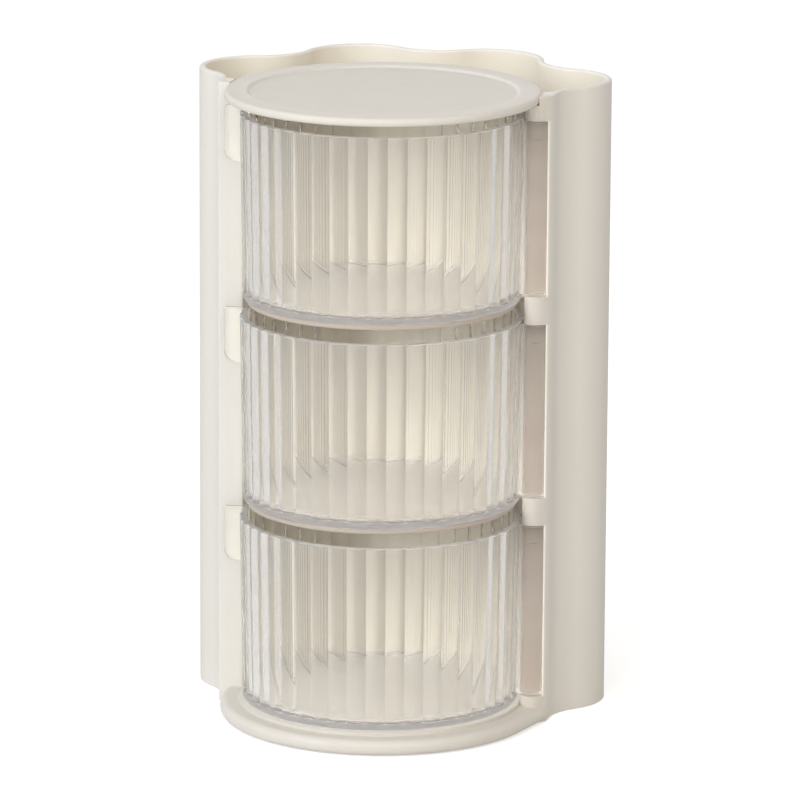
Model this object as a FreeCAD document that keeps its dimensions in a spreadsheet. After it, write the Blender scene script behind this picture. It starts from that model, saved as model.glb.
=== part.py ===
"""Rotating desk organizer: a lobed pen trough wrapped round a column of three
swing-out drawers. Millimetres, +Z up, front towards -Y, origin under the middle
of the part on the surface it stands on."""
import FreeCAD, Part
import math
import os
import re

import Sketcher

# Driving sizes in millimetres, angles in degrees
SIZES = {
    # Clear drawers, measured over the reeds at the rim
    "drawer_radius": 46.5,
    "drawer_height": 61.0,
    "drawer_taper": 1.0,
    "drawer_wall": 1.5,
    "drawer_floor": 2.0,
    "foot_band": 1.7,
    "reed_depth": 0.8,
    "reed_count": 45,
    "reed_turn": 2.0,
    "tab_reach": 6.5,
    "tab_height": 18.4,
    "tab_thickness": 1.6,
    "tab_corner": 4.0,
    # Running room round a drawer
    "side_gap": 0.6,
    "run_gap": 0.4,
    "head_gap": 4.3,
    "top_gap": 4.5,
    "tab_gap": 0.6,
    # Hinge at the right of the column
    "hinge_out": 3.5,
    "hinge_setback": 2.0,
    "knuckle_gap": 0.4,
    "barrel_inset": 0.4,
    "barrel_foot": 2.5,
    "barrel_head": 1.2,
    "barrel_gap": 0.4,
    "web_thickness": 2.0,
    "pin_radius": 1.3,
    "pin_fit": 0.06,
    "pin_reach": 6.0,
    "pin_end": 0.5,
    # Column round the back of the drawers
    "column_wall": 2.4,
    "post_depth": 6.0,
    "post_width": 2.6,
    "post_round": 1.0,
    "seat_fit": 0.1,
    # Shelves under the two upper drawers
    "shelf_plate": 1.6,
    "shelf_inset": 2.5,
    "shelf_tongue": 1.0,
    "shelf_gap": 0.3,
    "tongue_angle": 150,
    "tongue_play": 1,
    # Lobed outer shell and the floor of its pen trough
    "lobe_radius": 19.2,
    "valley_radius": 17.0,
    "throat_radius": 8.0,
    "side_lobe_out": 4.7,
    "back_lobe_out": 12.0,
    "back_lobe_angle": 71.4,
    "shell_wall": 2.2,
    "rim_round_share": 0.32,
    "well_depth": 128.0,
    "well_floor": 2.2,
    # Round base with its front flange
    "flange_inset": 2.5,
    "flange_height": 5.1,
    "flange_round_share": 0.47,
    "seat_rise": 1.1,
    # Round top cover with a raised rim
    "cover_inset": 3.9,
    "cover_thickness": 2.8,
    "cover_rim": 7.2,
    "cover_recess": 0.8,
    "cover_slope": 1.0,
    "cover_round_share": 0.43,
    # Non-slip pads under the base
    "pad_radius": 5.0,
    "pad_rise": 0.5,
    "pad_recess": 0.7,
    "pad_inset": 8.8,
    "pad_angle": 45,
    # How far a cut runs past what it cuts
    "overrun": 2.0,
}

# Sizes worked out from the driving ones
TERMS = {
    "bay_radius": "drawer_radius + side_gap",
    "column_radius": "bay_radius + column_wall",
    "post_radius": "column_radius + post_depth",
    "flange_radius": "post_radius - flange_inset",
    "cover_radius": "post_radius - cover_inset",
    "shelf_radius": "bay_radius - shelf_gap",
    "drawer_foot_radius": "drawer_radius - drawer_taper",
    "hinge_x": "bay_radius + hinge_out",
    "knuckle_radius": "hinge_out + side_gap - knuckle_gap",
    "barrel_radius": "knuckle_radius - barrel_inset",
    "barrel_length": "drawer_height - barrel_foot - barrel_head",
    "post_right": "hinge_setback + knuckle_radius + barrel_gap",
    "post_left": "tab_thickness / 2 + tab_gap",
    "right_angle": "asin(post_right / bay_radius)",
    "left_angle": "asin(post_left / bay_radius)",
    "base_top": "pad_rise + flange_height",
    "seat_top": "base_top + seat_rise",
    "lowest_drawer": "seat_top + run_gap",
    "pitch": "drawer_height + head_gap + shelf_plate + run_gap",
    "cover_bottom": "lowest_drawer + 2 * pitch + drawer_height + top_gap",
    "height": "cover_bottom + cover_thickness",
    "well_top": "height - well_depth",
    "back_lobe_turn": "back_lobe_angle * 1 deg",
    "pad_turn": "pad_angle * 1 deg",
    "pad_spread": "shelf_radius - pad_inset",
    "side_reach": "post_radius + side_lobe_out",
    "back_reach": "post_radius + back_lobe_out",
    "side_lobe_x": "side_reach * cos(side_lobe_angle)",
    "side_lobe_y": "side_reach * sin(side_lobe_angle)",
    "back_lobe_x": "back_reach * cos(back_lobe_turn)",
    "back_lobe_y": "back_reach * sin(back_lobe_turn)",
    "throat_reach": "post_radius + throat_radius",
    "throat_span": "lobe_radius + throat_radius",
    "throat_swing": "acos((side_reach ^ 2 + throat_reach ^ 2 - throat_span ^ 2)"
                    " / (2 * side_reach * throat_reach))",
    "throat_angle": "asin((post_right + post_width) / post_radius)",
    "side_lobe_angle": "throat_angle + throat_swing",
    "column_y": "(flange_radius - back_lobe_y - lobe_radius) / 2",
}

DRAWERS = ["lower", "middle", "upper"]

# Two sizes this close, as a share of the size, are the same
MATCH_SHARE = 1e-6

doc = FreeCAD.newDocument("organizer")
sheet = doc.addObject("Spreadsheet::Sheet", "sizes")
for row, (alias, size) in enumerate(SIZES.items(), start=1):
    sheet.set(f"A{row}", alias)
    sheet.set(f"B{row}", str(size))
    sheet.setAlias(f"B{row}", alias)
doc.recompute()

nodes = {}


def formula(text):
    """Spell a size out in cells of the sheet."""
    def spell(match):
        word = match.group()
        if word in SIZES:
            return f"sizes.{word}"
        if word in TERMS:
            return f"({formula(TERMS[word])})"
        return word
    return re.sub(r"[a-z_]+", spell, text)


def value(text):
    """Work a size out as a number."""
    result = sheet.evalExpression(formula(text))
    return getattr(result, "Value", result)


def bind(feature, sizes):
    """Tie properties of a feature to sizes."""
    for path, text in sizes.items():
        feature.setExpression(path, formula(text))
    return feature


def at(x="0", y="0", z="0"):
    """Place a feature by its three coordinates."""
    return {"Placement.Base.x": x, "Placement.Base.y": y, "Placement.Base.z": z}


def cylinder(name, radius, height, x="0", y="0", z="0", start="0", sweep="360"):
    """Upright cylinder, or a sector of one from the start angle."""
    solid = doc.addObject("Part::Cylinder", name)
    solid.Placement.Rotation = FreeCAD.Rotation(FreeCAD.Vector(0, 0, 1), 0)
    sizes = {"Radius": radius, "Height": height, "Angle": sweep, "Placement.Rotation.Angle": start}
    return bind(solid, {**sizes, **at(x, y, z)})


def box(name, length, width, height, x, y, z):
    """Upright box from its low corner."""
    solid = doc.addObject("Part::Box", name)
    return bind(solid, {"Length": length, "Width": width, "Height": height, **at(x, y, z)})


def fuse(name, shapes):
    """Join solids into one piece."""
    joined = doc.addObject("Part::MultiFuse", name)
    joined.Shapes = shapes
    return joined


def cut(name, base, tools):
    """Take one or more solids out of a piece."""
    piece = doc.addObject("Part::Cut", name)
    piece.Base = base
    piece.Tool = tools[0] if len(tools) == 1 else fuse(f"{name}_tools", tools)
    return piece


def node(name, feature, z="0"):
    """Name a finished piece and set the column's axis in the part's frame."""
    feature.Label = name
    bind(feature, at(y="column_y", z=z))
    nodes[name] = feature
    return feature


def copy_node(name, pattern, z="0", x="0", y="0"):
    """Stand another of the same piece somewhere else."""
    feature = doc.addObject("Part::Feature", name)
    feature.Shape = pattern.Shape
    bind(feature, at(x, f"column_y + {y}", z))
    nodes[name] = feature


class Outline:
    """A sketch on a body's origin plane whose dimensions follow the sizes."""

    def __init__(self, body, name, role="XY_Plane", lift="0"):
        self.sketch = body.newObject("Sketcher::SketchObject", name)
        plane = next(item for item in body.Origin.OriginFeatures if item.Role == role)
        self.sketch.AttachmentSupport = [(plane, "")]
        self.sketch.MapMode = "FlatFace"
        bind(self.sketch, {"AttachmentOffset.Base.z": lift})

    def limit(self, kind, *places, size):
        """Add a dimension that follows a size."""
        index = self.sketch.addConstraint(Sketcher.Constraint(kind, *places, value(size)))
        self.sketch.setExpression(f"Constraints[{index}]", formula(size))

    def relate(self, kind, *places):
        """Add a relation between pieces of the outline."""
        self.sketch.addConstraint(Sketcher.Constraint(kind, *places))

    def pin(self, geometry, end, x, y):
        """Hold a point at two coordinates."""
        for kind, size, axis in (("DistanceX", x, -2), ("DistanceY", y, -1)):
            if size == "0":
                self.relate("PointOnObject", geometry, end, axis)
            else:
                self.limit(kind, -1, 1, geometry, end, size=size)

    def polygon(self, points):
        """Add a closed outline of straight lines through points given as pairs of sizes."""
        corners = [FreeCAD.Vector(value(x), value(y), 0) for x, y in points]
        lines = [self.sketch.addGeometry(Part.LineSegment(start, end))
                 for start, end in zip(corners, corners[1:] + corners[:1])]
        for line, follower, (x, y) in zip(lines, lines[1:] + lines[:1], points):
            self.relate("Coincident", line, 2, follower, 1)
            self.pin(line, 1, x, y)

    def arc(self, centre, radius, start, end):
        """Add an arc by angles, counterclockwise, with its radius tied to a size."""
        circle = Part.Circle(centre, FreeCAD.Vector(0, 0, 1), value(radius))
        index = self.sketch.addGeometry(Part.ArcOfCircle(circle, start, end))
        self.limit("Radius", index, size=radius)
        return index

    def line(self, start, end):
        """Add a line between two points."""
        return self.sketch.addGeometry(Part.LineSegment(start, end))


def direction(angle):
    """Unit vector at an angle in radians."""
    return FreeCAD.Vector(math.cos(angle), math.sin(angle), 0)


def heading(start, end):
    """Angle of the way from one point to another."""
    return math.atan2(end.y - start.y, end.x - start.x)


def mirrored(point):
    """The same point on the other side of the part."""
    return FreeCAD.Vector(-point.x, point.y, 0)


def between(first, second, radius):
    """Centre at one distance from two centres, on the left of the way between them."""
    middle = (first + second) / 2
    half = (second - first).Length / 2
    aside = direction(heading(first, second) + math.pi / 2)
    return middle + aside * math.sqrt(radius ** 2 - half ** 2)


class LobedRun:
    """The run of tangent arcs round the four lobes, from the right post to the left one.

    Lobes bulge outwards, and the throats and valleys between them curve the other way.
    An inset moves the whole run inwards by one distance."""

    def __init__(self, outline, inset):
        self.outline = outline
        side = FreeCAD.Vector(value("side_lobe_x"), value("side_lobe_y"), 0)
        back = FreeCAD.Vector(value("back_lobe_x"), value("back_lobe_y"), 0)
        throat = direction(math.radians(value("throat_angle"))) * value("throat_reach")
        span = value("lobe_radius + valley_radius")
        right = [throat, side, between(back, side, span), back]
        left = [mirrored(centre) for centre in reversed(right)]
        self.centres = right + [between(mirrored(back), back, span)] + left
        self.draw(inset)

    def draw(self, inset):
        """Draw the arcs at their solved places and tie them to the sizes."""
        origin = FreeCAD.Vector(0, 0, 0)
        stops = [origin] + self.centres + [origin]
        lobes = {1: "side_lobe", 3: "back_lobe", 5: "-back_lobe", 7: "-side_lobe"}
        self.arcs = []
        for place, centre in enumerate(self.centres):
            behind = heading(centre, stops[place])
            ahead = heading(centre, stops[place + 2])
            if place in lobes:
                arc = self.outline.arc(centre, f"lobe_radius - ({inset})", behind, ahead)
                self.outline.pin(arc, 3, f"{lobes[place]}_x", f"{lobes[place].lstrip('-')}_y")
            else:
                bend = "throat" if stops[place] == origin or stops[place + 2] == origin else "valley"
                arc = self.outline.arc(centre, f"{bend}_radius + {inset}", ahead, behind)
            self.arcs.append(arc)
        for place in range(len(self.arcs) - 1):
            self.join(place)
        self.ends = [(self.arcs[0], 2), (self.arcs[-1], 1)]
        for arc, end in self.ends:
            self.hold(arc, end)

    def hold(self, arc, end):
        """Set a throat's centre and free end on a spoke from the column's axis."""
        spoke = self.outline.line(FreeCAD.Vector(0, 0, 0), self.outline.sketch.getPoint(arc, 3))
        self.outline.sketch.toggleConstruction(spoke)
        self.outline.relate("Coincident", spoke, 1, -1, 1)
        self.outline.relate("Coincident", spoke, 2, arc, 3)
        self.outline.limit("Distance", spoke, size="throat_reach")
        self.outline.relate("PointOnObject", arc, end, spoke)

    def join(self, place):
        """Make two neighbouring arcs tangent where they meet."""
        end = 2 if place % 2 else 1
        self.outline.relate("Tangent", self.arcs[place], end, self.arcs[place + 1], end)

    def close(self, ends):
        """Join both free ends by lines to two others."""
        for (arc, end), (far, far_end) in zip(self.ends, ends):
            points = [self.outline.sketch.getPoint(arc, end), self.outline.sketch.getPoint(far, far_end)]
            line = self.outline.line(*points)
            self.outline.relate("Coincident", line, 1, arc, end)
            self.outline.relate("Coincident", line, 2, far, far_end)
            yield line


def new_body(name):
    """Start a piece that is built feature by feature."""
    return doc.addObject("PartDesign::Body", f"{name}_body")


def extrude(body, outline, length):
    """Raise a solid from an outline."""
    feature = body.newObject("PartDesign::Pad", "extrusion")
    feature.Profile = outline.sketch
    return bind(feature, {"Length": length})


def spin(body, outline):
    """Turn a profile in the XZ plane once round the Z axis."""
    feature = body.newObject("PartDesign::Revolution", "turn")
    feature.Profile = outline.sketch
    feature.ReferenceAxis = (outline.sketch, ["V_Axis"])
    feature.Angle = 360
    return feature


def soften(body, feature, radius, wanted):
    """Round the edges of a feature that a test picks."""
    doc.recompute()
    edges = [f"Edge{index}" for index, edge in enumerate(feature.Shape.Edges, start=1) if wanted(edge)]
    rounding = body.newObject("PartDesign::Fillet", "rounding")
    rounding.Base = (feature, edges)
    return bind(rounding, {"Radius": radius})


def ease(name, base, radius, wanted):
    """Round the edges of a plain solid that a test picks."""
    doc.recompute()
    rounded = doc.addObject("Part::Fillet", name)
    rounded.Base = base
    rounded.Edges = [(index, value(radius), value(radius))
                     for index, edge in enumerate(base.Shape.Edges, start=1) if wanted(edge)]
    return rounded


def same(size, other):
    """Whether two sizes agree but for rounding."""
    return math.isclose(size, other, rel_tol=MATCH_SHARE)


def arc_at(edge, z):
    """Whether an edge is an arc lying flat at a height."""
    flat = same(edge.BoundBox.ZMin, z) and same(edge.BoundBox.ZMax, z)
    return flat and edge.Curve.TypeId == "Part::GeomCircle"


def arc_of(edge, radius):
    """Whether an edge is an arc of a radius."""
    return edge.Curve.TypeId == "Part::GeomCircle" and same(edge.Curve.Radius, radius)


def upright_at(edge, place):
    """Whether an edge stands upright at a place."""
    near = place.Length * MATCH_SHARE
    feet = [FreeCAD.Vector(vertex.X, vertex.Y, 0) for vertex in edge.Vertexes]
    return all(foot.distanceToPoint(place) < near for foot in feet)


def crossing_at(edge, x, z):
    """Whether an edge runs from front to back at a place."""
    return all(same(vertex.X, x) and same(vertex.Z, z) for vertex in edge.Vertexes)


def build_shell():
    """Lobed wall that holds the pens, open at the top and the bottom."""
    body = new_body("shell")
    outline = Outline(body, "shell_outline", lift="pad_rise")
    list(LobedRun(outline, "0").close(LobedRun(outline, "shell_wall").ends))
    wall = extrude(body, outline, "height - pad_rise")
    top = value("height")
    soften(body, wall, "shell_wall * rim_round_share", lambda edge: arc_at(edge, top))
    node("outer_shell", body)


def build_well_floor():
    """Floor of the pen trough, between the column and the shell."""
    body = new_body("well_floor")
    outline = Outline(body, "well_outline", lift="well_top - well_floor")
    turn = math.radians(value("throat_angle"))
    inner = outline.arc(FreeCAD.Vector(0, 0, 0), "column_radius + seat_fit", turn, math.pi - turn)
    outline.relate("Coincident", inner, 3, -1, 1)
    for line in LobedRun(outline, "shell_wall + seat_fit").close([(inner, 1), (inner, 2)]):
        outline.relate("PointOnObject", -1, 1, line)
    extrude(body, outline, "well_floor")
    node("well_floor", body)


def drawer_z(number):
    """Height of a drawer's underside, counted from the lowest one."""
    return f"lowest_drawer + {number} * pitch"


def build_column():
    """Wall round the back of the drawers, with a post at each end and the hinge knuckles."""
    tall = "height - pad_rise"
    sweep = "180 deg - right_angle - left_angle"
    wall = cylinder("bay_wall", "column_radius", tall, z="pad_rise", start="right_angle", sweep=sweep)
    right = cylinder("right_post", "post_radius", tall, z="pad_rise",
                     start="right_angle", sweep="throat_angle - right_angle")
    left = cylinder("left_post", "post_radius", tall, z="pad_rise",
                    start="180 deg - throat_angle", sweep="throat_angle - left_angle")
    stack = "cover_bottom - pad_rise"
    nose = cylinder("knuckle_nose", "knuckle_radius", stack, "hinge_x", "hinge_setback", "pad_rise")
    back = box("knuckle_back", "2 * knuckle_radius", "post_right + column_wall / 2 - hinge_setback", stack,
               "hinge_x - knuckle_radius", "hinge_setback", "pad_rise")
    trim = doc.addObject("Part::MultiCommon", "knuckle_stack")
    trim.Shapes = [fuse("knuckle_bar", [nose, back]),
                   cylinder("post_bound", "post_radius", stack, z="pad_rise")]
    windows = []
    for number in range(len(DRAWERS)):
        windows.append(box(f"hinge_window_{number}", "2 * post_radius", "2 * post_radius",
                           "barrel_length + 2 * barrel_gap", "0", "-post_radius",
                           f"{drawer_z(number)} + barrel_foot - barrel_gap"))
    knuckles = cut("knuckles", trim, windows)
    tools = [cylinder("bay", "bay_radius", "height + 2 * overrun", z="-overrun"),
             cylinder("pin_hole", "pin_radius + pin_fit", "height + 2 * overrun",
                      "hinge_x", "hinge_setback", "-overrun"),
             cylinder("cover_room", "cover_radius + seat_fit", "cover_thickness + overrun",
                      z="cover_bottom")]
    for number in range(1, len(DRAWERS)):
        tools.append(cylinder(f"shelf_groove_{number}", "bay_radius + shelf_tongue",
                              "shelf_plate + 2 * seat_fit",
                              z=f"{drawer_z(number)} - run_gap - shelf_plate - seat_fit",
                              start="90 - tongue_angle / 2 - tongue_play",
                              sweep="tongue_angle + 2 * tongue_play"))
    column = cut("column_cut", fuse("column_solid", [wall, right, left, knuckles]), tools)
    corner = mirrored(direction(math.radians(value("left_angle")))) * value("post_radius")
    node("drawer_column", ease("column", column, "post_round", lambda edge: upright_at(edge, corner)))


def build_base():
    """Round floor of the column with a rounded flange at the front."""
    body = new_body("base")
    profile = Outline(body, "base_profile", "XZ_Plane")
    profile.polygon([("0", "pad_rise"), ("flange_radius", "pad_rise"), ("flange_radius", "base_top"),
                     ("shelf_radius", "base_top"), ("shelf_radius", "seat_top"), ("0", "seat_top")])
    disc = spin(body, profile)
    rim = value("flange_radius")
    soften(body, disc, "flange_height * flange_round_share", lambda edge: arc_of(edge, rim))
    behind = [box("base_right", "2 * post_radius", "2 * post_radius", "base_top + overrun", "0",
                  "hinge_setback - knuckle_radius - seat_fit", "0"),
              box("base_left", "2 * post_radius", "2 * post_radius", "base_top + overrun",
                  "-2 * post_radius", "post_left - seat_fit", "0")]
    outside = cut("base_behind", fuse("base_back", behind),
                  [cylinder("base_core", "shelf_radius", "seat_top + overrun")])
    recesses = [cylinder(f"pad_recess_{name}", "pad_radius + seat_fit", "pad_recess", x, y, "pad_rise")
                for name, x, y in pad_places()]
    node("base", cut("base_cut", body, [outside] + recesses))


def pad_places():
    """Name and place of each non-slip pad, measured from the column's axis."""
    x = "pad_spread * cos(pad_turn)"
    y = "pad_spread * sin(pad_turn)"
    return [("front_left", f"-{x}", f"-{y}"), ("front_right", x, f"-{y}"),
            ("back_left", f"-{x}", y), ("back_right", x, y)]


def build_pads():
    """Four thin pads let into the underside of the base."""
    for name, x, y in pad_places():
        pad_solid = cylinder(f"pad_{name}", "pad_radius", "pad_rise + pad_recess")
        pad_solid.Label = f"pad_{name}"
        bind(pad_solid, at(x, f"column_y + {y}"))
        nodes[f"pad_{name}"] = pad_solid


def build_cover():
    """Round top cover with a raised, rounded rim."""
    body = new_body("cover")
    profile = Outline(body, "cover_profile", "XZ_Plane")
    dish = "cover_radius - cover_rim"
    profile.polygon([("0", "cover_bottom"), ("cover_radius", "cover_bottom"), ("cover_radius", "height"),
                     (dish, "height"), (f"{dish} - cover_slope", "height - cover_recess"),
                     ("0", "height - cover_recess")])
    rim = value("cover_radius")
    soften(body, spin(body, profile), "cover_thickness * cover_round_share", lambda edge: arc_of(edge, rim))
    node("top_cover", body)


def build_shelves():
    """Thin shelves under the two upper drawers, let into the column by a tongue."""
    for number in range(1, len(DRAWERS)):
        name = f"shelf_{DRAWERS[number]}"
        plate = cylinder(f"{name}_plate", "shelf_radius - shelf_inset", "shelf_plate")
        tongue = cylinder(f"{name}_tongue", "bay_radius + shelf_tongue - seat_fit", "shelf_plate",
                          start="90 - tongue_angle / 2", sweep="tongue_angle")
        node(name, fuse(f"{name}_solid", [plate, tongue]), f"{drawer_z(number)} - run_gap - shelf_plate")


def reeded_ring(name, crest, z):
    """Closed ring of reeds that bulge outwards, with a sharp groove near the front."""
    count = round(value("reed_count"))
    step = 2 * math.pi / count
    first = -math.pi / 2 - math.radians(value("reed_turn"))
    tops = [direction(first + step * (place + 0.5)) * value(crest) for place in range(count)]
    valleys = [direction(first + step * place) * value(f"{crest} - reed_depth")
               for place in range(count + 1)]
    arcs = [Part.Arc(start, top, end).toShape()
            for start, top, end in zip(valleys, tops, valleys[1:])]
    ring = doc.addObject("Part::Feature", name)
    ring.Shape = Part.Wire(arcs)
    return bind(ring, at(z=z))


def build_tab():
    """Thin pull tab at the left of a drawer's rim, with its low outer corner rounded."""
    reach = "drawer_radius + tab_reach"
    plate = box("tab_plate", reach, "tab_thickness", "tab_height", f"-({reach})",
                "-tab_thickness / 2", "drawer_height - tab_height")
    low = value("drawer_height - tab_height")
    return ease("tab", plate, "tab_corner", lambda edge: crossing_at(edge, value(f"-({reach})"), low))


def build_drawers():
    """Three clear reeded cups, each with its hinge barrel and pull tab."""
    wall = doc.addObject("Part::Loft", "reeded_wall")
    wall.Sections = [reeded_ring("foot_reeds", "drawer_foot_radius", "foot_band"),
                     reeded_ring("rim_reeds", "drawer_radius", "drawer_height")]
    wall.Solid = True
    wall.Ruled = True
    band = cylinder("foot_band", "drawer_foot_radius", "foot_band")
    barrel = cylinder("barrel", "barrel_radius", "barrel_length", "hinge_x", "hinge_setback", "barrel_foot")
    web = box("web", "hinge_x", "web_thickness", "barrel_length", "0",
              "hinge_setback - web_thickness / 2", "barrel_foot")
    bore = "pin_reach + pin_end"
    tools = [bind(doc.addObject("Part::Cone", "inside"), {
        "Radius1": "drawer_foot_radius - reed_depth - drawer_wall",
        "Radius2": "drawer_radius - reed_depth - drawer_wall",
        "Height": "drawer_height - drawer_floor", **at(z="drawer_floor")})]
    for name, z in (("low_bore", "barrel_foot"), ("high_bore", f"drawer_height - barrel_head - ({bore})")):
        tools.append(cylinder(name, "pin_radius + pin_fit", bore, "hinge_x", "hinge_setback", z))
    pattern = cut("drawer", fuse("drawer_solid", [wall, band, barrel, web, build_tab()]), tools)
    doc.recompute()
    for number, name in enumerate(DRAWERS):
        copy_node(f"drawer_{name}", pattern, drawer_z(number))


def build_pins():
    """Stub pins that hold the drawers' barrels between the knuckles."""
    top = len(DRAWERS)
    for number, name in enumerate(["bottom", "lower", "upper", "top"]):
        low = f"{drawer_z(number - 1)} + drawer_height - barrel_head - pin_reach" if number else "pad_rise"
        high = f"{drawer_z(number)} + barrel_foot + pin_reach" if number < top else "cover_bottom"
        pin = cylinder(f"hinge_pin_{name}", "pin_radius", f"{high} - ({low})")
        pin.Label = f"hinge_pin_{name}"
        bind(pin, at("hinge_x", "column_y + hinge_setback", low))
        nodes[pin.Label] = pin


build_shell()
build_well_floor()
build_column()
build_base()
build_pads()
build_cover()
build_shelves()
build_drawers()
build_pins()
doc.recompute()

for feature in doc.Objects:
    if "Invalid" in feature.State or "Error" in feature.State:
        raise RuntimeError(f"{feature.Label} failed: {feature.State}")
for name, feature in nodes.items():
    if feature.Shape.isNull() or not feature.Shape.isValid():
        raise RuntimeError(f"{name} has no valid shape")

os.makedirs("parts", exist_ok=True)
for name, feature in nodes.items():
    feature.Shape.exportStep(f"parts/{name}.step")
    print(name, len(feature.Shape.Solids), round(feature.Shape.Volume, 1))
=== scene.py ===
"""Looks of the rotating desk organizer: a lobed cream shell round three clear reeded drawers.

Lengths in the classes are millimetres, measured from the axis of the drawer column, with z up
from the table. They become metres in the frame of the part when a mesh is made.
"""

import logging
import math
from dataclasses import dataclass
from enum import Enum
from functools import cache

import bpy
import numpy as np
from mathutils import Matrix, Vector

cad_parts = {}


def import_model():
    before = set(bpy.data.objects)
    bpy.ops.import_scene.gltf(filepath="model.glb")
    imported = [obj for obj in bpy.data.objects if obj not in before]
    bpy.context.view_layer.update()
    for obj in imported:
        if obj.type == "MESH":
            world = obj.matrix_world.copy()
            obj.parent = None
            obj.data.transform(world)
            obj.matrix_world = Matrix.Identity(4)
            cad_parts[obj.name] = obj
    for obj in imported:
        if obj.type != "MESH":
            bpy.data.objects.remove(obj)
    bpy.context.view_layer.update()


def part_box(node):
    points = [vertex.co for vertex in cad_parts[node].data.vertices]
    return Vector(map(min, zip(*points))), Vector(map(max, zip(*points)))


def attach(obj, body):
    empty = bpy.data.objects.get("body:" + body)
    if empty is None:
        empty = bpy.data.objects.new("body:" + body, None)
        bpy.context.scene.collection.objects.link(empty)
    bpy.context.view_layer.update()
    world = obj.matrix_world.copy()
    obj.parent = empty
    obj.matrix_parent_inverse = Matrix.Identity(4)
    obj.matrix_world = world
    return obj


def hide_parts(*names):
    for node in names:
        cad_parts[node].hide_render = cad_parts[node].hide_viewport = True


LOG = logging.getLogger("organizer")
MM = 0.001
WHOLE = 2 * math.pi
FLIP = np.array([-1.0, 1.0])
WHITE = (1.0, 1.0, 1.0)
DRAWER_NAMES = ("lower", "middle", "upper")
# Tones of painted light marked on surfaces, a value between two being a mix: painted recess shade, the
# plastic's own colour, painted bounce light inside the trough, painted shade with warm bounce light in
# the drawer bay
RECESS_SHADE, PLAIN, INSIDE_BOUNCE_LIGHT, BAY_SHADE = -1.0, 0.0, 1.0, 2.0

Triple = tuple[float, float, float]
Pair = tuple[float, float]
Rgb = Triple
Array = np.ndarray
Socket = bpy.types.NodeSocket
Node = bpy.types.Node
Tree = bpy.types.NodeTree
Material = bpy.types.Material
Scene = bpy.types.Scene
Piece = bpy.types.Object


class Body(Enum):
    """Moving groups of the part."""

    FRAME = "frame"
    LOWER = "lower_drawer"
    MIDDLE = "middle_drawer"
    UPPER = "upper_drawer"


class Slot(Enum):
    """Finishes named in the part's record."""

    CREAM = "cream_plastic"
    CLEAR = "clear_plastic"
    RUBBER = "pad_rubber"


class Side(Enum):
    """Right or left of the column, as the sign of x."""

    RIGHT = 1.0
    LEFT = -1.0

    def lay(self, loop: Array) -> Array:
        """Carry an anticlockwise loop drawn on the right over to this side."""
        return loop if self is Side.RIGHT else (loop * FLIP)[::-1]


class Mark(Enum):
    """What a mesh keeps for each of its points."""

    WEAR = "wear"
    # The tone mark holds painted light: painted shade, painted bounce light and painted glints.
    TONE = "tone"
    CREASE = "crease"


Marks = dict[Mark, Array | float]


@dataclass(frozen=True)
class Layout:
    """Sizes that more than one piece uses."""

    axis_y: float = -15.087
    ground: float = 0.5
    height: float = 210.0
    cover_bottom: float = 207.2
    bay: float = 47.1
    column: float = 49.5
    post: float = 55.5
    post_end: float = 3.11
    shell_wall: float = 2.2
    throat: float = 20.0
    lobe: float = 19.2
    valley: float = 17.0
    side_reach: float = 60.2
    back_reach: float = 67.5
    back_angle: float = 71.4
    hinge: Pair = (50.6, 2.0)
    lowest: float = 7.1
    pitch: float = 67.3
    drawer_height: float = 61.0
    barrel_foot: float = 2.5
    barrel_head: float = 1.2

    def throat_angle(self) -> float:
        """Angle of the spoke where a post ends and the shell begins, in radians."""
        return math.asin(self.post_end / self.post)

    def side_angle(self) -> float:
        """Angle of a side lobe's centre, in radians, from the triangle of axis, throat and lobe."""
        reach = self.post + self.throat
        span = self.lobe + self.throat
        cosine = (self.side_reach ** 2 + reach ** 2 - span ** 2) / (2 * self.side_reach * reach)
        return self.throat_angle() + math.acos(cosine)

    def drawer_z(self, number: int) -> float:
        """Height of a drawer's underside, counted from the lowest one."""
        return self.lowest + number * self.pitch


PLAN = Layout()


def polar(radius: Array | float, angle: Array | float) -> Array:
    """Points at a radius and angle from the axis, by radius * (cos angle, sin angle)."""
    return np.stack([radius * np.cos(angle), radius * np.sin(angle)], -1)


def between(first: Array, second: Array, radius: float) -> Array:
    """Point at one distance from two others, on the left of the line from first to second."""
    run = second - first
    half = np.hypot(*run) / 2
    side = np.array([-run[1], run[0]]) / (2 * half)
    return (first + second) / 2 + side * math.sqrt(radius ** 2 - half ** 2)


@dataclass(frozen=True)
class Arc:
    """Arc of a plan outline; a hollow one has its centre outside the part."""

    centre: Array
    radius: float
    start: float
    end: float
    hollow: bool = False

    def at(self, turn: Array) -> tuple[Array, Array]:
        """Points of the arc and its outward normals at some angles."""
        ray = polar(1.0, turn)
        return self.centre + self.radius * ray, -ray if self.hollow else ray

    def sample(self, step: float) -> tuple[Array, Array]:
        """Points and outward normals at even steps along the arc, without its last point."""
        count = max(3, int(abs(self.end - self.start) * self.radius / step))
        return self.at(np.linspace(self.start, self.end, count, endpoint=False))


def lobed_arcs(plan: Layout) -> list[Arc]:
    """Arcs of the shell's outside, from the right post round the back to the left post."""
    throat = polar(plan.post + plan.throat, plan.throat_angle())
    side = polar(plan.side_reach, plan.side_angle())
    back = polar(plan.back_reach, math.radians(plan.back_angle))
    span = plan.lobe + plan.valley
    right = [throat, side, between(back, side, span), back]
    centres = right + [between(back * FLIP, back, span)] + [c * FLIP for c in reversed(right)]
    radii = [plan.throat, plan.lobe, plan.valley, plan.lobe]
    radii = radii + [plan.valley] + radii[::-1]
    stops = [np.zeros(2)] + centres + [np.zeros(2)]
    arcs = []
    for place, (centre, radius) in enumerate(zip(centres, radii)):
        start = math.atan2(*(stops[place] - centre)[::-1])
        end = math.atan2(*(stops[place + 2] - centre)[::-1])
        hollow = place % 2 == 0
        end = start - (start - end) % WHOLE if hollow else start + (end - start) % WHOLE
        arcs.append(Arc(centre, radius, start, end, hollow))
    return arcs


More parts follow.
